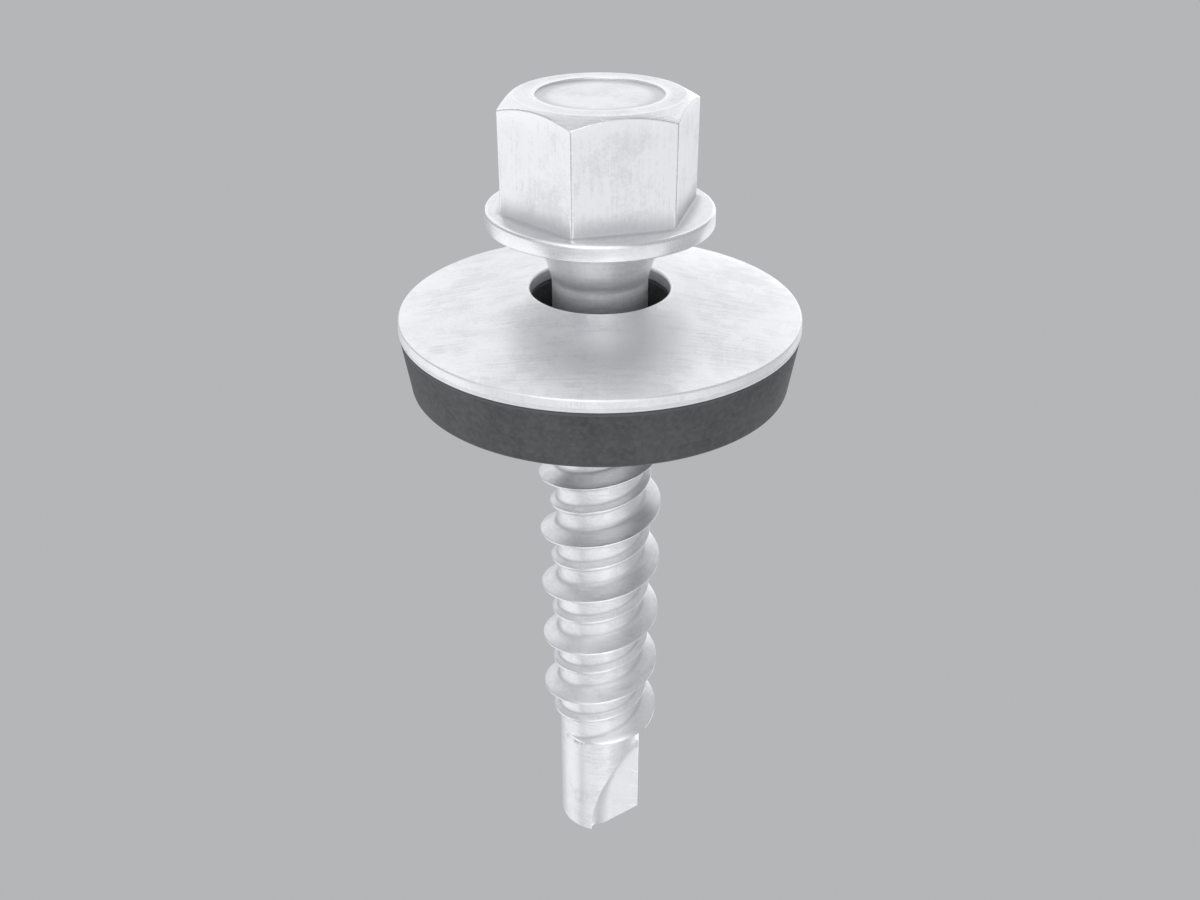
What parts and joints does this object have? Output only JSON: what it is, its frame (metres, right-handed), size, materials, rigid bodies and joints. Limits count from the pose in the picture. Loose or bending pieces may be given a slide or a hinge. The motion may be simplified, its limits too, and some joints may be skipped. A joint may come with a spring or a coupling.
{
  "type": "self-drilling roofing screw with sealing washer",
  "caption": "Hex washer head roofing screw with a high and a low thread, a fluted drill point and a dished steel washer with a rubber seal.",
  "frame": {"origin": "centre of the head's top face, on which the screw stands", "axes": "+Z along the screw from the head to the drill tip; the hexagon's corners lie at 45 degrees from +X and every 60 degrees on"},
  "size_m": [0.019, 0.019, 0.0438],
  "materials": {
    "screw_steel": "bright zinc-coated steel, satin",
    "washer_steel": "bright galvanised sheet, satin",
    "seal_rubber": "matte"
  },
  "bodies": {
    "screw": {"screw": "screw_steel"},
    "washer": {"steel_washer": "washer_steel", "rubber_seal": "seal_rubber"}
  },
  "joints": [
    {"name": "washer_slide", "type": "slide", "parent": "screw", "child": "washer", "axis": [0, 0, 1], "range_m": [-0.003, 0.0355]}
  ]
}
